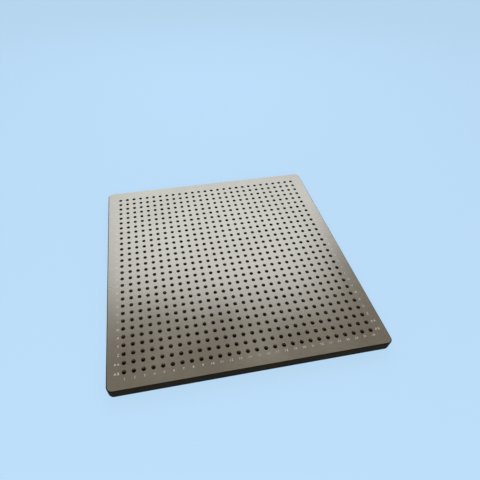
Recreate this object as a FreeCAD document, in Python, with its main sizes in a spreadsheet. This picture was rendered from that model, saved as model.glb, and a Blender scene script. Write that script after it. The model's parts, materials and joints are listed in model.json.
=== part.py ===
"""Fixture plate: one square plate of tooling aluminium with a grid of tapped holes.

The plate is machined from a single blank. Its outline is square with rounded
corners, its top and bottom edges are chamfered all round, and a square grid of
M6 holes is tapped right through it. Each hole is drilled to the tap drill's
size and has a 90 degree countersunk mouth on the working face; the thread
itself isn't cut in this model.

Frame: millimetres, +Z up, origin at the middle of the underside, columns of
holes counted along +X and rows along +Y.
"""
import FreeCAD, Part
import math
import os

import Sketcher

# Driving dimensions, in millimetres apart from the two counts.
SIZES = {
    "hole_pitch": 15.0,
    "hole_columns": 28,
    "hole_rows": 28,
    "edge_margin": 27.5,            # centre of the outermost holes to the plate's edge
    "plate_thickness": 20.0,
    "corner_radius": 10.0,
    "edge_chamfer": 1.5,
    "tap_drill_diameter": 5.0,      # M6 coarse thread
    "mouth_diameter": 7.0,          # countersink at the working face
}

# Spans worked out from the driving dimensions, as spreadsheet expressions.
GRID_LENGTH = "sizes.hole_pitch * (sizes.hole_columns - 1)"
GRID_WIDTH = "sizes.hole_pitch * (sizes.hole_rows - 1)"
PLATE_LENGTH = f"{GRID_LENGTH} + 2 * sizes.edge_margin"
PLATE_WIDTH = f"{GRID_WIDTH} + 2 * sizes.edge_margin"
DRILL_RADIUS = "sizes.tap_drill_diameter / 2"
MOUTH_RADIUS = "sizes.mouth_diameter / 2"

UP = FreeCAD.Vector(0, 0, 1)
ORIGIN_POINT = (-1, 1)              # a sketch's own origin, as constraints name it
FULL_TURN = 360.0
VOLUME_TOLERANCE = 1e-6             # as a share of the volume


def fill_sheet(doc, name, sizes):
    """Write each driving dimension into a cell of its own, with its name as the alias."""
    sheet = doc.addObject("Spreadsheet::Sheet", name)
    for row, (alias, value) in enumerate(sizes.items(), start=1):
        sheet.set(f"A{row}", alias)
        sheet.set(f"B{row}", str(value))
        sheet.setAlias(f"B{row}", alias)
    doc.recompute()
    return sheet


def origin_feature(body, role):
    """Return the body's own origin plane or axis that has this role."""
    return next(item for item in body.Origin.OriginFeatures if item.Role == role)


def add_sketch(body, name, plane_role):
    """Start a sketch on one of the body's origin planes."""
    sketch = body.newObject("Sketcher::SketchObject", name)
    sketch.AttachmentSupport = (origin_feature(body, plane_role), [""])
    sketch.MapMode = "FlatFace"
    return sketch


def add_polygon(sketch, points):
    """Draw a closed polygon and join its corners; return the index of its first line."""
    corners = [FreeCAD.Vector(x, y, 0) for x, y in points]
    first = sketch.GeometryCount
    for start, end in zip(corners, corners[1:] + corners[:1]):
        sketch.addGeometry(Part.LineSegment(start, end), False)
    count = len(corners)
    for index in range(count):
        following = first + (index + 1) % count
        sketch.addConstraint(Sketcher.Constraint("Coincident", first + index, 2, following, 1))
    return first


def bind(sketch, name, kind, references, value, expression):
    """Add a dimension to a sketch and bind it to an expression."""
    index = sketch.addConstraint(Sketcher.Constraint(kind, *references, value))
    sketch.renameConstraint(index, name)
    sketch.setExpression(f"Constraints.{name}", expression)


def draw_outline(body):
    """Sketch the plate's square outline, centred on the origin."""
    sketch = add_sketch(body, "outline", "XY_Plane")
    span = SIZES["hole_pitch"] * SIZES["hole_columns"]
    half = span / 2
    add_polygon(sketch, [(-half, -half), (half, -half), (half, half), (-half, half)])
    front, right, back, left = range(4)
    for line in (front, back):
        sketch.addConstraint(Sketcher.Constraint("Horizontal", line))
    for line in (right, left):
        sketch.addConstraint(Sketcher.Constraint("Vertical", line))
    sketch.addConstraint(Sketcher.Constraint("Symmetric", front, 1, right, 2, *ORIGIN_POINT))
    bind(sketch, "length", "DistanceX", (front, 1, front, 2), span, PLATE_LENGTH)
    bind(sketch, "width", "DistanceY", (right, 1, right, 2), span, PLATE_WIDTH)
    return sketch


def draw_hole_profile(body):
    """Sketch half the section of the first hole, beside the hole's own axis."""
    sketch = add_sketch(body, "hole_profile", "XZ_Plane")
    sketch.setExpression("AttachmentOffset.Base.x", f"-({GRID_LENGTH}) / 2")
    sketch.setExpression("AttachmentOffset.Base.z", f"({GRID_WIDTH}) / 2")
    top = SIZES["plate_thickness"]
    drill = SIZES["tap_drill_diameter"] / 2
    mouth = SIZES["mouth_diameter"] / 2
    cone = mouth - drill
    points = [(0, 0), (drill, 0), (drill, top - cone), (mouth, top), (0, top)]
    foot, wall, countersink, rim, axis = range(add_polygon(sketch, points), len(points))
    for line in (foot, rim):
        sketch.addConstraint(Sketcher.Constraint("Horizontal", line))
    for line in (wall, axis):
        sketch.addConstraint(Sketcher.Constraint("Vertical", line))
    sketch.addConstraint(Sketcher.Constraint("Coincident", foot, 1, *ORIGIN_POINT))
    bind(sketch, "drill_radius", "DistanceX", (foot, 1, foot, 2), drill, DRILL_RADIUS)
    bind(sketch, "mouth_radius", "DistanceX", (rim, 2, rim, 1), mouth, MOUTH_RADIUS)
    bind(sketch, "thickness", "DistanceY", (axis, 2, axis, 1), top, "sizes.plate_thickness")
    bind(sketch, "cone_depth", "DistanceY", (countersink, 1, countersink, 2), cone,
         f"{MOUTH_RADIUS} - {DRILL_RADIUS}")
    return sketch


def upright_edges(shape):
    """Name the edges that run along Z."""
    names = []
    for number, edge in enumerate(shape.Edges, start=1):
        if abs(edge.tangentAt(edge.FirstParameter).z) > 0.99:
            names.append(f"Edge{number}")
    return names


def level_faces(shape):
    """Name the flat faces that look straight up or straight down."""
    names = []
    for number, face in enumerate(shape.Faces, start=1):
        if abs(face.normalAt(0, 0).dot(UP)) > 0.99:
            names.append(f"Face{number}")
    return names


def build_blank(doc, body):
    """Make the blank: the padded outline with its corners rounded and its edges chamfered."""
    blank = body.newObject("PartDesign::Pad", "blank")
    blank.Profile = draw_outline(body)
    blank.setExpression("Length", "sizes.plate_thickness")
    doc.recompute()

    corners = body.newObject("PartDesign::Fillet", "rounded_corners")
    corners.Base = (blank, upright_edges(blank.Shape))
    corners.setExpression("Radius", "sizes.corner_radius")
    doc.recompute()

    edges = body.newObject("PartDesign::Chamfer", "broken_edges")
    edges.Base = (corners, level_faces(corners.Shape))
    edges.setExpression("Size", "sizes.edge_chamfer")
    doc.recompute()
    return edges


def add_run(body, name, axis_role, length, count):
    """Make one direction of the hole grid."""
    run = body.newObject("PartDesign::LinearPattern", name)
    run.Direction = (origin_feature(body, axis_role), [""])
    run.setExpression("Length", length)
    run.setExpression("Occurrences", count)
    return run


def cut_holes(doc, body):
    """Turn the first hole out of the blank and repeat it over the grid."""
    profile = draw_hole_profile(body)
    hole = body.newObject("PartDesign::Groove", "first_hole")
    hole.Profile = profile
    hole.ReferenceAxis = (profile, ["V_Axis"])
    hole.Angle = FULL_TURN
    hole.Refine = False
    doc.recompute()

    grid = body.newObject("PartDesign::MultiTransform", "hole_grid")
    grid.Originals = [hole]
    grid.Transformations = [
        add_run(body, "columns", "X_Axis", GRID_LENGTH, "sizes.hole_columns"),
        add_run(body, "rows", "Y_Axis", GRID_WIDTH, "sizes.hole_rows"),
    ]
    grid.Refine = False
    body.Tip = grid
    doc.recompute()
    return grid


def hole_volume(sheet):
    """Work out how much metal one hole takes away: its drilled bore and its mouth."""
    drill = sheet.tap_drill_diameter / 2
    mouth = sheet.mouth_diameter / 2
    cone = mouth - drill
    bore = math.pi * drill ** 2 * (sheet.plate_thickness - cone)
    return bore + math.pi * cone * (mouth ** 2 + mouth * drill + drill ** 2) / 3


def check_model(doc, sheet, blank, plate):
    """Stop if a feature failed, the solid isn't sound, or the holes aren't all cut."""
    for item in doc.Objects:
        if "Invalid" in item.State or "Error" in item.State:
            raise RuntimeError(f"{item.Label} failed: {item.State}")
    shape = plate.Shape
    if shape.isNull() or not shape.isValid() or len(shape.Solids) != 1:
        raise RuntimeError(f"{plate.Label} isn't one sound solid")
    holes = int(sheet.hole_columns) * int(sheet.hole_rows)
    expected = blank.Shape.Volume - holes * hole_volume(sheet)
    if abs(shape.Volume - expected) > VOLUME_TOLERANCE * expected:
        raise RuntimeError(f"volume is {shape.Volume:.0f} mm3, expected {expected:.0f} mm3")
    print(f"{plate.Label}: {holes} holes, {shape.Volume:.0f} mm3, {len(shape.Faces)} faces")


def main():
    """Build the plate, check it and write it to parts/."""
    doc = FreeCAD.newDocument("fixture_plate")
    sheet = fill_sheet(doc, "sizes", SIZES)

    plate = doc.addObject("PartDesign::Body", "plate")
    plate.Label = "plate"
    plate.Placement = FreeCAD.Placement()
    blank = build_blank(doc, plate)
    cut_holes(doc, plate)
    check_model(doc, sheet, blank, plate)

    os.makedirs("parts", exist_ok=True)
    plate.Shape.exportStep(f"parts/{plate.Label}.step")


main()
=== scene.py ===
"""Looks of the fixture plate: ground and anodised aluminium, tapped holes and engraved grid marks.

The plate is one piece that stands for the CAD node of the same name: a chamfered blank whose
margins carry the engraved letters and numbers of the grid, and a countersunk bore that is
repeated at every hole. The first turns of the screw threads and the pale filling of the marks
are pieces of their own. Lengths are in metres.
"""
import json
import logging
import math
import string
from dataclasses import dataclass, field
from enum import Enum
from typing import Any

import bmesh
import bpy
from mathutils import Matrix, Vector
from mathutils.geometry import delaunay_2d_cdt


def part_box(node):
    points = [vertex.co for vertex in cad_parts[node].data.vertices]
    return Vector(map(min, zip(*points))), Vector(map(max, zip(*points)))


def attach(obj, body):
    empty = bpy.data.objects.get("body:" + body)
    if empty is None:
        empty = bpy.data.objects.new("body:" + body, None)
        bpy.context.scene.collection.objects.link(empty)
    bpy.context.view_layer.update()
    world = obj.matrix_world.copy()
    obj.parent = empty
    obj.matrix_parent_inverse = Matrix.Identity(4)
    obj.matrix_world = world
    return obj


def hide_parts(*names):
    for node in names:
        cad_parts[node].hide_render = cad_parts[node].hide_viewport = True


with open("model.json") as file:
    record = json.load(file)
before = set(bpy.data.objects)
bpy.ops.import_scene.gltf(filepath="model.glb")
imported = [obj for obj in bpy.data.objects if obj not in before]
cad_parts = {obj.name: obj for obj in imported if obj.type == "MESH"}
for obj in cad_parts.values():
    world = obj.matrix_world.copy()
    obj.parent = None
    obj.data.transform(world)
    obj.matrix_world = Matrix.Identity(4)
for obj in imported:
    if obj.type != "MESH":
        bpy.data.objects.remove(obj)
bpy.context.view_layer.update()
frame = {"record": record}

MM = 0.001
BODY = "root"
CAD_NODE = "plate"
WELD = 0.002 * MM               # corners closer than this are one corner
GLYPH_WELD = 1e-3               # the same for a character's outline, in the font's own units
SHARP_ANGLE = math.radians(30)
NOISE_MIDDLE = (0.34, 0.66)     # most values of a noise lie between these
SCRATCH_CRESTS = (0.70, 0.76)   # its few highest crests, from foot to top, which become scratches
SCRATCH_COURSES = ((0.5, 28.0), (-0.9, 40.0))   # turn, and how much finer across than along

Colour = tuple[float, float, float]
Flat = tuple[float, float]
Pair = tuple[int, int]
Face = tuple[int, ...]

log = logging.getLogger("fixture_plate")


# ------------------------------------------------------------------------- node trees

@dataclass
class NodeSketch:
    """A node tree that is written one node at a time."""

    tree: bpy.types.NodeTree

    def add(self, kind: str, settings: dict[str, Any] | None = None,
            inputs: dict[str, Any] | None = None) -> bpy.types.NodeSocket:
        """Add a node, set it up and fill its inputs.

        Args:
            kind: the node's type, as Blender names it.
            settings: values for the node's own properties.
            inputs: for each input, by name or number, a socket to link from or a plain value.

        Returns:
            The node's first output that is in use, or its first input where it has none.
        """
        node = self.tree.nodes.new(kind)
        for name, value in (settings or {}).items():
            setattr(node, name, value)
        for name, value in (inputs or {}).items():
            socket = next(s for n, s in enumerate(node.inputs) if s.enabled and name in (s.name, n))
            if isinstance(value, bpy.types.NodeSocket):
                self.tree.links.new(value, socket)
            else:
                socket.default_value = value
        return next((s for s in node.outputs if s.enabled), None) or node.inputs[0]

    def math(self, operation: str, first: Any, second: Any) -> bpy.types.NodeSocket:
        """Add a Math node.

        Args:
            operation: what it does, such as MULTIPLY.
            first: its first value or socket.
            second: its second value or socket.

        Returns:
            The socket of its result.
        """
        kind = {"operation": operation}
        return self.add("ShaderNodeMath", kind, {0: first, 1: second})

    def noise(self, place: bpy.types.NodeSocket, scale: float, detail: float) -> bpy.types.NodeSocket:
        """Add a Noise Texture.

        Args:
            place: where it is read.
            scale: how many of its largest features go into a metre.
            detail: how many finer layers it has.

        Returns:
            The socket of its value, which stays near one half.
        """
        return self.add("ShaderNodeTexNoise", None, {"Vector": place, "Scale": scale, "Detail": detail})

    def spread(self, value: bpy.types.NodeSocket, low: float, high: float) -> bpy.types.NodeSocket:
        """Spread the middle of a noise over a range.

        Args:
            value: the noise's value.
            low: what the lower end of the noise's middle becomes.
            high: what its upper end becomes.

        Returns:
            The socket of the new value.
        """
        least, most = NOISE_MIDDLE
        return self.add("ShaderNodeMapRange", None, {
            "Value": value, "From Min": least, "From Max": most, "To Min": low, "To Max": high})


# --------------------------------------------------------------------------- finishes

class Lay(Enum):
    """Which way the fine marks of machining run: how much finer the grain is along X, Y and Z."""

    ALONG_X = (1.0, 14.0, 1.0)
    UPWARDS = (8.0, 8.0, 1.0)
    ROUND_A_BORE = (1.0, 1.0, 8.0)


@dataclass(frozen=True)
class MetalFinish:
    """A machined metal surface whose tone, gloss and relief vary a little from place to place."""

    name: str
    dark: Colour
    light: Colour
    metallic: float
    roughness: Flat
    lay: Lay
    specular: float = 0.5
    patch_scale: float = 9.0            # how many patches of tone go into a metre
    grain_scale: float = 90.0           # how many marks of machining do, before the lay draws them out
    grain_tone: float = 0.5
    grain_height: float = 0.012 * MM
    scratches: float = 0.0              # how much lighter the fine handling scratches are

    def material(self) -> bpy.types.Material:
        """Build the finish as a node material.

        Returns:
            The material.
        """
        made = bpy.data.materials.new(self.name)
        made.use_nodes = True
        made.node_tree.nodes.clear()
        sketch = NodeSketch(made.node_tree)
        place = sketch.add("ShaderNodeTexCoord").node.outputs["Object"]
        along = sketch.add("ShaderNodeMapping", None, {"Vector": place, "Scale": self.lay.value})
        patches = sketch.noise(place, self.patch_scale, 4.0)
        grain = sketch.noise(along, self.grain_scale, 6.0)
        streak = sketch.spread(grain, -self.grain_tone, self.grain_tone)
        tone = sketch.math("ADD", sketch.spread(patches, 0.0, 1.0), streak)
        if self.scratches:
            tone = sketch.math("ADD", tone, self.scratch_lines(sketch, place))
        colour = sketch.add("ShaderNodeMix", {"data_type": "RGBA"},
                            {"Factor": tone, "A": (*self.dark, 1.0), "B": (*self.light, 1.0)})
        bump = sketch.add("ShaderNodeBump", None, {"Height": grain, "Distance": self.grain_height})
        shader = sketch.add("ShaderNodeBsdfPrincipled", None, {
            "Base Color": colour, "Metallic": self.metallic, "Normal": bump,
            "Specular IOR Level": self.specular,
            "Roughness": sketch.spread(patches, *self.roughness)})
        sketch.add("ShaderNodeOutputMaterial", None, {"Surface": shader})
        return made

    def scratch_lines(self, sketch: NodeSketch, place: bpy.types.NodeSocket) -> bpy.types.NodeSocket:
        """Draw sparse, fine scratches in two directions, each in patches of its own.

        Args:
            sketch: the material's node tree.
            place: where the scratches are read.

        Returns:
            The socket of how strong they are.
        """
        lines = None
        foot, top = SCRATCH_CRESTS
        for turn, stretch in SCRATCH_COURSES:
            course = sketch.add("ShaderNodeMapping", None, {
                "Vector": place, "Rotation": (0.0, 0.0, turn), "Scale": (1.0, stretch, 1.0)})
            crest = sketch.add("ShaderNodeMapRange", None, {
                "Value": sketch.noise(course, 14.0, 2.0), "From Min": foot, "From Max": top,
                "To Min": 0.0, "To Max": self.scratches})
            lines = crest if lines is None else sketch.math("ADD", lines, crest)
        return lines


@dataclass(frozen=True)
class MarkFilling:
    """The pale, dull and slightly uneven filling of an engraved mark."""

    name: str
    dark: Colour
    light: Colour
    roughness: float = 0.6
    wear_scale: float = 700.0
    wear_height: float = 0.02 * MM

    def material(self) -> bpy.types.Material:
        """Build the filling as a node material.

        Returns:
            The material.
        """
        made = bpy.data.materials.new(self.name)
        made.use_nodes = True
        made.node_tree.nodes.clear()
        sketch = NodeSketch(made.node_tree)
        place = sketch.add("ShaderNodeTexCoord").node.outputs["Object"]
        wear = sketch.noise(place, self.wear_scale, 3.0)
        colour = sketch.add("ShaderNodeMix", {"data_type": "RGBA"}, {
            "Factor": sketch.spread(wear, 0.0, 1.0), "A": (*self.dark, 1.0), "B": (*self.light, 1.0)})
        bump = sketch.add("ShaderNodeBump", None, {"Height": wear, "Distance": self.wear_height})
        shader = sketch.add("ShaderNodeBsdfPrincipled", None, {
            "Base Color": colour, "Roughness": self.roughness, "Normal": bump})
        sketch.add("ShaderNodeOutputMaterial", None, {"Surface": shader})
        return made


GROUND_FACE = MetalFinish("ground_face", dark=(0.39, 0.365, 0.315), light=(0.45, 0.425, 0.375),
                          metallic=0.95, roughness=(0.24, 0.30), lay=Lay.ALONG_X, scratches=0.5)
# Painted shade: the sides and chamfers get a much darker, nearly glossless copy of the plate's finish. It
# stands in for the shade on faces that turn away from the lamps.
SIDE_PAINTED_SHADE = MetalFinish("side_painted_shade", dark=(0.012, 0.009, 0.005), light=(0.021, 0.016, 0.009),
                         metallic=0.0, roughness=(0.52, 0.62), lay=Lay.UPWARDS, specular=0.01)
TAPPED_BORE = MetalFinish("tapped_bore", dark=(0.05, 0.036, 0.025), light=(0.10, 0.075, 0.052),
                          metallic=1.0, roughness=(0.35, 0.45), lay=Lay.ROUND_A_BORE)
WHITE_MARK = MarkFilling("white_mark", dark=(0.78, 0.77, 0.74), light=(0.92, 0.91, 0.88))


# ------------------------------------------------------------------------ mesh helpers

@dataclass
class Skin:
    """Corners and faces that are gathered before they become a mesh."""

    corners: list[Vector] = field(default_factory=list)
    faces: list[Face] = field(default_factory=list)
    slots: list[int] = field(default_factory=list)

    def add(self, corners: list[Vector], faces: list[Face], slot: int) -> None:
        """Add a patch of one material.

        Args:
            corners: the patch's corners.
            faces: the corners of each of its faces, counter-clockwise as seen from outside.
            slot: which of the mesh's materials it has.
        """
        first = len(self.corners)
        self.corners += corners
        self.faces += [tuple(first + n for n in face) for face in faces]
        self.slots += [slot] * len(faces)

    def mesh(self, name: str, materials: list[bpy.types.Material]) -> bpy.types.Mesh:
        """Make the mesh.

        Args:
            name: the mesh's name.
            materials: its materials.

        Returns:
            The mesh, with corners that coincide not yet joined.
        """
        mesh = bpy.data.meshes.new(name)
        mesh.from_pydata(self.corners, [], self.faces)
        for material in materials:
            mesh.materials.append(material)
        mesh.polygons.foreach_set("material_index", self.slots)
        return mesh


def weld_meshes(name: str, parts: list[bpy.types.Mesh]) -> bpy.types.Mesh:
    """Join meshes into one closed mesh.

    Args:
        name: the new mesh's name.
        parts: the meshes, which meet corner to corner. They are removed.

    Returns:
        The joined mesh, smooth where its faces meet at a shallow angle.

    Raises:
        ValueError: if the joined mesh isn't closed.
    """
    materials = list(dict.fromkeys(m for part in parts for m in part.materials))
    shell = bmesh.new()
    for part in parts:
        first = len(shell.faces)
        shell.from_mesh(part)
        shell.faces.ensure_lookup_table()
        slots = [materials.index(m) for m in part.materials]
        for face in shell.faces[first:]:
            face.material_index = slots[face.material_index]
        bpy.data.meshes.remove(part)
    bmesh.ops.remove_doubles(shell, verts=shell.verts, dist=WELD)
    open_edges = sum(not edge.is_manifold for edge in shell.edges)
    if open_edges:
        raise ValueError(f"{name} has {open_edges} open edges")
    joined = bpy.data.meshes.new(name)
    shell.to_mesh(joined)
    shell.free()
    for material in materials:
        joined.materials.append(material)
    joined.polygons.foreach_set("use_smooth", [True] * len(joined.polygons))
    joined.set_sharp_from_angle(angle=SHARP_ANGLE)
    return joined


def add_piece(name: str, mesh: bpy.types.Mesh) -> bpy.types.Object:
    """Put a finished mesh into the scene as a piece of the plate.

    Args:
        name: the piece's name.
        mesh: its mesh, in place.

    Returns:
        The new object, which rides on the plate's body.
    """
    piece = bpy.data.objects.new(name, mesh)
    bpy.context.scene.collection.objects.link(piece)
    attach(piece, BODY)
    return piece


def ring_of(radius: float, level: float, sides: int) -> list[Vector]:
    """Place corners round a circle about the Z axis.

    Args:
        radius: the circle's radius.
        level: its height.
        sides: how many corners it has.

    Returns:
        The corners, counter-clockwise from +X.
    """
    turns = (math.tau * side / sides for side in range(sides))
    return [Vector((radius * math.cos(turn), radius * math.sin(turn), level)) for turn in turns]


def band(outer: int, inner: int, count: int) -> list[Face]:
    """List the four-sided faces between two closed loops of corners.

    Args:
        outer: the first corner of the loop that the faces start from.
        inner: the first corner of the other loop.
        count: how many corners each loop has.

    Returns:
        The faces.
    """
    steps = [(step, (step + 1) % count) for step in range(count)]
    return [(outer + here, outer + there, inner + there, inner + here) for here, there in steps]


# ---------------------------------------------------------------------------- the grid

@dataclass(frozen=True)
class HoleGrid:
    """The square grid of tapped holes, centred on the plate."""

    pitch: float
    columns: int
    rows: int
    crest_radius: float

    @classmethod
    def from_record(cls, record: dict[str, Any]) -> "HoleGrid":
        """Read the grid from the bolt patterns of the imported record.

        Args:
            record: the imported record.

        Returns:
            The grid.
        """
        dims = {mount["name"]: mount["dims"] for mount in record["mounts"]}
        pitch = dims["bolt_one_cell"]["spacing_x_mm"]
        whole = dims["bolt_grid_corners"]
        return cls(pitch * MM, round(whole["spacing_x_mm"] / pitch) + 1,
                   round(whole["spacing_y_mm"] / pitch) + 1, whole["hole_r_mm"] * MM)

    def column(self, number: int) -> float:
        """Return the X of a column, counted from 0 at the left."""
        return (number - (self.columns - 1) / 2) * self.pitch

    def row(self, number: int) -> float:
        """Return the Y of a row, counted from 0 at the back."""
        return ((self.rows - 1) / 2 - number) * self.pitch

    def centres(self) -> list[Flat]:
        """List the centres of all the holes."""
        return [(self.column(i), self.row(j)) for j in range(self.rows) for i in range(self.columns)]

    def distance(self, point: Flat) -> float:
        """Measure how far a point lies from the nearest hole.

        Args:
            point: the point.

        Returns:
            Its distance from the centre of that hole.
        """
        last = (self.columns - 1, self.rows - 1)
        steps = [min(max(round(place / self.pitch + end / 2), 0), end) for place, end in zip(point, last)]
        return math.dist(point, (self.column(steps[0]), self.row(last[1] - steps[1])))

    def repeat(self, name: str, unit: bpy.types.Mesh) -> bpy.types.Mesh:
        """Repeat a mesh at every hole of the grid with Geometry Nodes.

        Args:
            name: the new mesh's name.
            unit: the mesh to repeat, drawn round the Z axis. It is removed.

        Returns:
            One plain mesh with all the copies.
        """
        carrier = bpy.data.objects.new(name, unit)
        bpy.context.scene.collection.objects.link(carrier)
        tree = self.tree(unit.materials[0])
        modifier = carrier.modifiers.new("hole_grid", "NODES")
        modifier.node_group = tree
        sockets = {s.name: s.identifier for s in tree.interface.items_tree}
        for label, value in (("Pitch", self.pitch), ("Columns", self.columns), ("Rows", self.rows)):
            modifier[sockets[label]] = value
        evaluated = carrier.evaluated_get(bpy.context.evaluated_depsgraph_get())
        repeated = bpy.data.meshes.new_from_object(evaluated)
        repeated.name = name
        bpy.data.objects.remove(carrier)
        bpy.data.node_groups.remove(tree)
        bpy.data.meshes.remove(unit)
        return repeated

    @staticmethod
    def tree(metal: bpy.types.Material) -> bpy.types.NodeTree:
        """Write the node tree that sets a mesh on every hole.

        Args:
            metal: the material of the copies.

        Returns:
            The tree, with named inputs for the pitch and the counts.
        """
        tree = bpy.data.node_groups.new("hole_grid", "GeometryNodeTree")
        for label, kind in (("Unit", "NodeSocketGeometry"), ("Pitch", "NodeSocketFloat"),
                            ("Columns", "NodeSocketInt"), ("Rows", "NodeSocketInt")):
            tree.interface.new_socket(label, in_out="INPUT", socket_type=kind)
        tree.interface.new_socket("Copies", in_out="OUTPUT", socket_type="NodeSocketGeometry")
        sketch = NodeSketch(tree)
        given = sketch.add("NodeGroupInput").node.outputs
        spans = [sketch.math("MULTIPLY", given["Pitch"], sketch.math("SUBTRACT", given[count], 1))
                 for count in ("Columns", "Rows")]
        holes = sketch.add("GeometryNodeMeshGrid", None, {
            "Size X": spans[0], "Size Y": spans[1],
            "Vertices X": given["Columns"], "Vertices Y": given["Rows"]})
        unit = sketch.add("GeometryNodeGeometryToInstance", None, {0: given["Unit"]})
        copies = sketch.add("GeometryNodeInstanceOnPoints", None, {"Points": holes, "Instance": unit})
        solid = sketch.add("GeometryNodeRealizeInstances", None, {"Geometry": copies})
        dressed = sketch.add("GeometryNodeSetMaterial", None, {"Geometry": solid, "Material": metal})
        sketch.add("NodeGroupOutput", None, {"Copies": dressed})
        return tree


# --------------------------------------------------------------------------- the marks

class LetterMargin(Enum):
    """The two margins that carry the letters of the rows: which way along X they lie."""

    LEFT = -1
    RIGHT = 1


@dataclass(frozen=True)
class Glyph:
    """One letter or digit as flat outlines."""

    corners: tuple[Flat, ...]
    edges: tuple[Pair, ...]


@dataclass
class Lettering:
    """The letters of the rows and the numbers of the columns, as outlines in place."""

    grid: HoleGrid
    letter_height: float = 3.9 * MM
    digit_height: float = 3.5 * MM
    letter_step: float = 5.0 * MM           # from one letter of a pair to the next
    digit_step: float = 3.1 * MM
    side_gap: float = 9.5 * MM              # hole centre to the nearest letter's centre
    front_gap: float = 9.5 * MM             # hole centre to the numbers' centre line
    turn: float = math.radians(0.25)        # the whole set of marks sits slightly askew
    glyphs: dict[str, Glyph] = field(default_factory=dict)

    def glyph(self, character: str) -> Glyph:
        """Return the outline of a character, centred and as tall as its kind is.

        Args:
            character: the letter or digit.

        Returns:
            Its outline.
        """
        if character not in self.glyphs:
            self.glyphs[character] = self.draw(character)
        return self.glyphs[character]

    def draw(self, character: str) -> Glyph:
        """Take a character's outline from Blender's own font.

        Args:
            character: the letter or digit.

        Returns:
            Its outline.
        """
        curve = bpy.data.curves.new("character", "FONT")
        curve.body = character
        curve.resolution_u = 3
        holder = bpy.data.objects.new("character", curve)
        bpy.context.scene.collection.objects.link(holder)
        evaluated = holder.evaluated_get(bpy.context.evaluated_depsgraph_get())
        flat = bpy.data.meshes.new_from_object(evaluated)
        shape = bmesh.new()
        shape.from_mesh(flat)
        bmesh.ops.remove_doubles(shape, verts=shape.verts, dist=GLYPH_WELD)
        lows = [min(v.co[axis] for v in shape.verts) for axis in (0, 1)]
        highs = [max(v.co[axis] for v in shape.verts) for axis in (0, 1)]
        height = self.digit_height if character.isdigit() else self.letter_height
        scale = height / (highs[1] - lows[1])
        # Only the outline is kept, its corners numbered in the order in which its edges meet them.
        border = [edge for edge in shape.edges if edge.is_boundary]
        rank = {v: n for n, v in enumerate(dict.fromkeys(v for e in border for v in e.verts))}
        corners = tuple(tuple((v.co[axis] - (lows[axis] + highs[axis]) / 2) * scale
                              for axis in (0, 1)) for v in rank)
        edges = tuple((rank[e.verts[0]], rank[e.verts[1]]) for e in border)
        shape.free()
        bpy.data.objects.remove(holder)
        bpy.data.curves.remove(curve)
        bpy.data.meshes.remove(flat)
        return Glyph(corners, edges)

    @staticmethod
    def row_name(number: int) -> str:
        """Name a row as sheets name columns: A to Z, then AA, AB and so on.

        Args:
            number: the row, counted from 0 at the back.

        Returns:
            Its one or two letters.
        """
        letters = string.ascii_uppercase
        if number < len(letters):
            return letters[number]
        return letters[number // len(letters) - 1] + letters[number % len(letters)]

    def places(self) -> list[tuple[str, float, float]]:
        """List every character of the marks, before their slight turn.

        Returns:
            Each character with the X and the Y of its centre.
        """
        found = []
        for row in range(self.grid.rows):
            name = self.row_name(row)
            for margin in LetterMargin:
                way = margin.value
                edge = way * (self.grid.column(self.grid.columns - 1) + self.side_gap)
                inner_first = name if margin is LetterMargin.RIGHT else name[::-1]
                for step, letter in enumerate(inner_first):
                    found.append((letter, edge + way * step * self.letter_step, self.grid.row(row)))
        level = self.grid.row(self.grid.rows - 1) - self.front_gap
        for column in range(self.grid.columns):
            name = str(column + 1)
            start = self.grid.column(column) - (len(name) - 1) / 2 * self.digit_step
            for step, digit in enumerate(name):
                found.append((digit, start + step * self.digit_step, level))
        return found

    def outlines(self) -> tuple[list[Flat], list[Pair]]:
        """Draw all the characters in place.

        Returns:
            The corners of their outlines and the edges between them.
        """
        corners: list[Flat] = []
        edges: list[Pair] = []
        turn = Matrix.Rotation(self.turn, 2)
        for character, x, y in self.places():
            glyph = self.glyph(character)
            first = len(corners)
            corners += [tuple(turn @ Vector((x + dx, y + dy))) for dx, dy in glyph.corners]
            edges += [(first + start, first + end) for start, end in glyph.edges]
        return corners, edges


# --------------------------------------------------------------------------- the plate

@dataclass(frozen=True)
class Region:
    """Triangles of one kind, with the corners that they share."""

    corners: list[Flat]
    triangles: list[Face]

    def border(self) -> list[Pair]:
        """Find the edges that only one triangle has.

        Returns:
            The edges, in that triangle's direction.
        """
        edges = [(t[n], t[(n + 1) % 3]) for t in self.triangles for n in range(3)]
        known = set(edges)
        return [edge for edge in edges if edge[::-1] not in known]


def sides_of(triangle: Face) -> list[frozenset[int]]:
    """List the three sides of a triangle, each as its two corners in no order."""
    return [frozenset((triangle[n], triangle[(n + 1) % 3])) for n in range(3)]


def split_outlines(corners: list[Flat], edges: list[Pair]) -> tuple[Region, Region]:
    """Fill outlines with triangles, by the even-odd rule.

    Args:
        corners: the corners of the outlines. The outermost outline is convex.
        edges: the edges of the outlines.

    Returns:
        What lies inside an odd number of outlines, and what lies inside an even number.
    """
    flat = [Vector(corner) / MM for corner in corners]
    points, lines, triangles, _, line_sources, _ = delaunay_2d_cdt(flat, edges, [], 0, 1e-5)
    walls = {frozenset(line) for line, source in zip(lines, line_sources) if source}
    neighbours: dict[frozenset[int], list[int]] = {}
    for number, triangle in enumerate(triangles):
        for side in sides_of(triangle):
            neighbours.setdefault(side, []).append(number)
    # A triangle on the rim lies inside one outline, and each outline crossed from there flips it.
    odd = {pair[0]: True for pair in neighbours.values() if len(pair) == 1}
    waiting = list(odd)
    while waiting:
        number = waiting.pop()
        for side in sides_of(triangles[number]):
            for other in neighbours[side]:
                if other not in odd:
                    odd[other] = odd[number] != (side in walls)
                    waiting.append(other)
    placed = [tuple(point * MM) for point in points]
    kinds = [[tuple(t) for n, t in enumerate(triangles) if odd[n] == kind] for kind in (True, False)]
    return Region(placed, kinds[0]), Region(placed, kinds[1])


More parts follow.
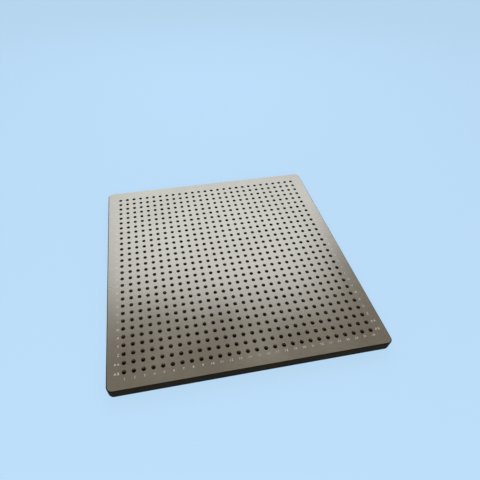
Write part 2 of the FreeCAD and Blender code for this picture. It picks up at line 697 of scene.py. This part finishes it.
@dataclass
class Plate:
    """The plate itself, its screw threads and the filling of its marks."""

    grid: HoleGrid
    low: Vector
    high: Vector
    corner_radius: float = 10.0 * MM
    chamfer: float = 1.5 * MM
    corner_steps: int = 10
    mouth_radius: float = 3.5 * MM
    hole_sides: int = 24
    thread_depth: float = 0.5 * MM
    thread_lead: float = 1.0 * MM           # how far the thread runs down in a turn
    thread_start: float = 0.4 * MM          # from the neck of the mouth to the first crest
    thread_turns: float = 1.6
    thread_steps: int = 10                  # straight stretches in a turn
    engraving_depth: float = 0.25 * MM
    filling_depth: float = 0.05 * MM        # from the plate's face to the top of the filling
    filling_root: float = 0.02 * MM         # how far the filling reaches into the metal below it

    def bore_radius(self) -> float:
        """Return the radius of the bore's wall, at the middle of the thread's depth."""
        return self.grid.crest_radius + self.thread_depth / 2

    def outline(self, inset: float) -> list[Flat]:
        """Trace the plate's outline with its rounded corners.

        Args:
            inset: how far inside the true outline it runs.

        Returns:
            Its corners, counter-clockwise.
        """
        radius = self.corner_radius - inset
        reach = Vector((self.high.x, self.high.y)) - Vector((self.corner_radius, self.corner_radius))
        points = []
        for quarter, (sx, sy) in enumerate(((1, 1), (-1, 1), (-1, -1), (1, -1))):
            for step in range(self.corner_steps + 1):
                turn = math.pi / 2 * (quarter + step / self.corner_steps)
                points.append((sx * reach.x + radius * math.cos(turn),
                               sy * reach.y + radius * math.sin(turn)))
        return points

    def bore(self, metal: bpy.types.Material) -> bpy.types.Mesh:
        """Draw one hole: its countersunk mouth and its bore, open at both ends.

        Args:
            metal: the hole's material.

        Returns:
            The hole's wall, which faces its axis.
        """
        sides, radius = self.hole_sides, self.bore_radius()
        neck = self.high.z - (self.mouth_radius - radius)
        points = ring_of(self.mouth_radius, self.high.z, sides) + ring_of(radius, neck, sides)
        points += ring_of(radius, self.low.z, sides)
        faces = band(0, sides, sides) + band(sides, 2 * sides, sides)
        return Skin(points, faces, [0] * len(faces)).mesh("bore", [metal])

    def level_face(self, hole_radius: float, corners: list[Flat],
                   edges: list[Pair]) -> tuple[Region, Region]:
        """Fill a level face of the plate round its holes and marks.

        Args:
            hole_radius: the radius of the holes at this face.
            corners: the corners of the marks.
            edges: the edges of the marks.

        Returns:
            The face, and the marks.
        """
        loops = [self.outline(self.chamfer)]
        circle = [(p.x, p.y) for p in ring_of(hole_radius, 0.0, self.hole_sides)]
        loops += [[(x + dx, y + dy) for dx, dy in circle] for x, y in self.grid.centres()]
        points, lines = list(corners), list(edges)
        for loop in loops:
            first, count = len(points), len(loop)
            points += loop
            lines += [(first + n, first + (n + 1) % count) for n in range(count)]
        metal, gaps = split_outlines(points, lines)
        # What isn't metal is a hole or a mark. A hole's corners lie on its circle, a mark's farther out.
        near = hole_radius + WELD
        marks = [t for t in gaps.triangles if self.grid.distance(gaps.corners[t[0]]) > near]
        return metal, Region(gaps.corners, marks)

    def blank(self, face: bpy.types.Material, side: bpy.types.Material, bore: bpy.types.Material,
              lettering: Lettering) -> tuple[bpy.types.Mesh, Region]:
        """Draw the plate without the walls of its holes, with the marks cut into it.

        Args:
            face: the material of the working face and the underside.
            side: the material of the sides and the chamfers, a darker and nearly glossless copy of the
                finish that paints their shade.
            bore: the material of the engraving.
            lettering: the marks.

        Returns:
            The plate, open at the mouths of its holes, and the region that the marks cover.
        """
        top, floor, bottom = self.high.z, self.high.z - self.engraving_depth, self.low.z
        upper, marks = self.level_face(self.mouth_radius, *lettering.outlines())
        lower, _ = self.level_face(self.bore_radius(), [], [])
        count = len(marks.corners)
        on_face, on_side, in_marks = range(3)
        skin = Skin()
        skin.add([Vector((*p, top)) for p in upper.corners], upper.triangles, on_face)
        skin.add([Vector((*p, bottom)) for p in lower.corners],
                 [t[::-1] for t in lower.triangles], on_face)
        skin.add([Vector((*p, floor)) for p in marks.corners], marks.triangles, in_marks)
        skin.add([Vector((*p, z)) for z in (floor, top) for p in marks.corners],
                 [(a, b, b + count, a + count)[::-1] for a, b in marks.border()], in_marks)
        loops = [(self.chamfer, top), (0.0, top - self.chamfer),
                 (0.0, bottom + self.chamfer), (self.chamfer, bottom)]
        for number in range(3):
            rings = [self.outline(inset) for inset, _ in loops[number:number + 2]]
            pair = [Vector((*p, z)) for ring, (_, z) in zip(rings, loops[number:]) for p in ring]
            skin.add(pair, [f[::-1] for f in band(0, len(rings[0]), len(rings[0]))], on_side)
        return skin.mesh("blank", [face, side, bore]), marks

    def thread(self, bore: bpy.types.Material) -> bpy.types.Mesh:
        """Draw the first turns of one hole's thread, as a helical ridge that fades at its ends.

        Args:
            bore: the ridge's material.

        Returns:
            The ridge, whose root lies inside the metal of the bore's wall.
        """
        crest, wall, steps = self.grid.crest_radius, self.bore_radius(), self.thread_steps
        root = 1.01 * wall / math.cos(math.pi / steps)     # its flats stay behind the round wall
        start = self.high.z - (self.mouth_radius - wall) - self.thread_start
        flank = 0.3 * self.thread_lead
        count = round(self.thread_turns * steps)
        points: list[Vector] = []
        for step in range(count + 1):
            # The ridge rises over its first three stretches and dies away over its last three.
            fade = min(1.0, step / 3 + 0.1, (count - step) / 3 + 0.1)
            level, turn = start - self.thread_lead * step / steps, math.tau * step / steps
            tip = root + (crest - root) * fade
            for radius, rise in ((root, -flank), (tip, 0.0), (root, flank)):
                points.append(Vector((radius * math.cos(turn), radius * math.sin(turn),
                                      level + rise * fade)))
        faces: list[Face] = [(0, 1, 2), tuple(3 * count + n for n in (2, 1, 0))]
        for step in range(count):
            faces += band(3 * step, 3 * step + 3, 3)
        return Skin(points, faces, [0] * len(faces)).mesh("thread", [bore])

    def filling(self, marks: Region, white: bpy.types.Material) -> bpy.types.Mesh:
        """Draw the pale filling of the marks, as thin closed slabs in the engraving.

        Args:
            marks: the region that the marks cover.
            white: the filling's material.

        Returns:
            The filling.
        """
        top = self.high.z - self.filling_depth
        bottom = self.high.z - self.engraving_depth - self.filling_root
        count = len(marks.corners)
        points = [Vector((*p, z)) for z in (top, bottom) for p in marks.corners]
        faces = list(marks.triangles) + [tuple(count + n for n in t[::-1]) for t in marks.triangles]
        faces += [(b, a, a + count, b + count) for a, b in marks.border()]
        return Skin(points, faces, [0] * len(faces)).mesh("filling", [white])

    def build(self) -> list[bpy.types.Object]:
        """Build all the plate's pieces.

        Returns:
            The pieces.
        """
        face, side = GROUND_FACE.material(), SIDE_PAINTED_SHADE.material()
        bore, white = TAPPED_BORE.material(), WHITE_MARK.material()
        blank, marks = self.blank(face, side, bore, Lettering(self.grid))
        # Painted shade: the countersinks and bores get the same darker side finish, which stands in for
        # the shade inside the holes.
        bores = self.grid.repeat("bores", self.bore(side))
        plate = add_piece("plate_body", weld_meshes("plate_body", [blank, bores]))
        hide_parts(CAD_NODE)
        threads = add_piece("hole_threads", self.grid.repeat("hole_threads", self.thread(bore)))
        filling = add_piece("grid_marks", weld_meshes("grid_marks", [self.filling(marks, white)]))
        return [plate, threads, filling]


# -------------------------------------------------------------------------- the studio

@dataclass(frozen=True)
class Softbox:
    """A soft rectangular lamp that looks at the middle of the plate."""

    name: str
    place: Vector                       # from the middle of the working face
    size: Flat
    power: float                        # in watts
    colour: Colour

    def hang(self, middle: Vector) -> None:
        """Hang the lamp in the studio.

        Args:
            middle: the middle of the working face.
        """
        light = bpy.data.lights.new(self.name, "AREA")
        light.shape = "RECTANGLE"
        light.size, light.size_y = self.size
        light.energy = self.power
        light.color = self.colour
        lamp = bpy.data.objects.new(self.name, light)
        lamp.location = middle + self.place
        lamp.rotation_euler = (-self.place).to_track_quat("-Z", "Y").to_euler()
        bpy.context.scene.collection.objects.link(lamp)


SOFTBOXES = (
    Softbox("back_softbox", Vector((0.16, 0.97, 0.90)), (1.35, 0.85), 5.3, (0.84, 0.91, 1.0)),
    Softbox("front_softbox", Vector((-0.35, -1.3, 1.1)), (1.0, 1.0), 13.0, (1.0, 1.0, 1.0)),
)


@dataclass
class Studio:
    """The floor, the lamps and the camera round the plate."""

    middle: Vector
    floor_colour: Colour = (0.54, 0.77, 1.0)
    floor_bounce: Colour = (0.70, 0.72, 0.74)
    floor_glow: float = 0.78            # share of the floor's look that no shadow reaches
    floor_gap: float = 0.1 * MM         # keeps the floor apart from the plate's underside
    floor_reach: float = 12.0
    horizon: Colour = (0.50, 0.71, 0.92)
    ceiling: Colour = (0.325, 0.288, 0.238)
    horizon_fade: Flat = (0.22, 0.60)   # where the ceiling starts and is whole, as sines of height
    eye: Vector = Vector((-0.1149, -0.4493, 0.5406))
    aim: Vector = Vector((-0.0260, 0.0467, 0.0))
    lens: float = 27.02
    shift: float = 0.0648

    def floor(self) -> None:
        """Lay a wide pale floor under the plate, which can be looked through from below."""
        mesh = bpy.data.meshes.new("floor")
        reach = self.floor_reach
        ends = ((-reach, -reach), (reach, -reach), (reach, reach), (-reach, reach))
        mesh.from_pydata([(x, y, -self.floor_gap) for x, y in ends], [], [(0, 1, 2, 3)])
        floor = bpy.data.objects.new("floor", mesh)
        bpy.context.scene.collection.objects.link(floor)
        made = bpy.data.materials.new("pale_floor")
        made.use_nodes = True
        made.node_tree.nodes.clear()
        sketch = NodeSketch(made.node_tree)
        rays = sketch.add("ShaderNodeLightPath").node.outputs
        seen = sketch.math("MAXIMUM", rays["Is Camera Ray"], rays["Is Glossy Ray"])
        below = sketch.add("ShaderNodeNewGeometry").node.outputs["Backfacing"]
        bounce = sketch.add("ShaderNodeBsdfDiffuse", None, {"Color": (*self.floor_bounce, 1.0)})
        shaded = sketch.add("ShaderNodeBsdfDiffuse", None, {"Color": (*self.floor_colour, 1.0)})
        glow = sketch.add("ShaderNodeEmission", None, {"Color": (*self.floor_colour, 1.0)})
        look = sketch.add("ShaderNodeMixShader", None, {0: self.floor_glow, 1: shaded, 2: glow})
        above = sketch.add("ShaderNodeMixShader", None, {0: seen, 1: bounce, 2: look})
        clear = sketch.add("ShaderNodeBsdfTransparent")
        shader = sketch.add("ShaderNodeMixShader", None, {0: below, 1: above, 2: clear})
        sketch.add("ShaderNodeOutputMaterial", None, {"Surface": shader})
        mesh.materials.append(made)

    def world(self) -> None:
        """Surround the plate with a pale horizon under a dimmer ceiling."""
        world = bpy.data.worlds.new("studio")
        world.use_nodes = True
        world.node_tree.nodes.clear()
        sketch = NodeSketch(world.node_tree)
        way = sketch.add("ShaderNodeTexCoord").node.outputs["Generated"]
        rise = sketch.add("ShaderNodeSeparateXYZ", None, {0: way}).node.outputs["Z"]
        start, end = self.horizon_fade
        height = sketch.add("ShaderNodeMapRange", {"interpolation_type": "SMOOTHSTEP"},
                            {"Value": rise, "From Min": start, "From Max": end})
        colour = sketch.add("ShaderNodeMix", {"data_type": "RGBA"}, {
            "Factor": height, "A": (*self.horizon, 1.0), "B": (*self.ceiling, 1.0)})
        light = sketch.add("ShaderNodeBackground", None, {"Color": colour, "Strength": 1.0})
        sketch.add("ShaderNodeOutputWorld", None, {"Surface": light})
        bpy.context.scene.world = world

    def camera(self) -> None:
        """Set up the camera, which looks down on the plate from the front."""
        camera = bpy.data.objects.new("camera", bpy.data.cameras.new("camera"))
        camera.data.lens = self.lens
        camera.data.shift_x = self.shift
        camera.location = self.middle + self.eye
        camera.rotation_euler = (self.aim - self.eye).to_track_quat("-Z", "Y").to_euler()
        bpy.context.scene.collection.objects.link(camera)
        bpy.context.scene.camera = camera

    def build(self) -> None:
        """Set the whole studio up."""
        self.floor()
        self.world()
        for softbox in SOFTBOXES:
            softbox.hang(self.middle)
        self.camera()
        bpy.context.scene.view_settings.view_transform = "Standard"


def main() -> None:
    """Build the plate and the studio."""
    logging.basicConfig(level=logging.INFO, format="%(name)s: %(message)s")
    low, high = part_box(CAD_NODE)
    plate = Plate(HoleGrid.from_record(frame["record"]), low, high)
    for piece in plate.build():
        log.info("%s: %d faces", piece.name, len(piece.data.polygons))
    Studio(Vector((0.0, 0.0, high.z))).build()


if __name__ == "__main__":
    main()
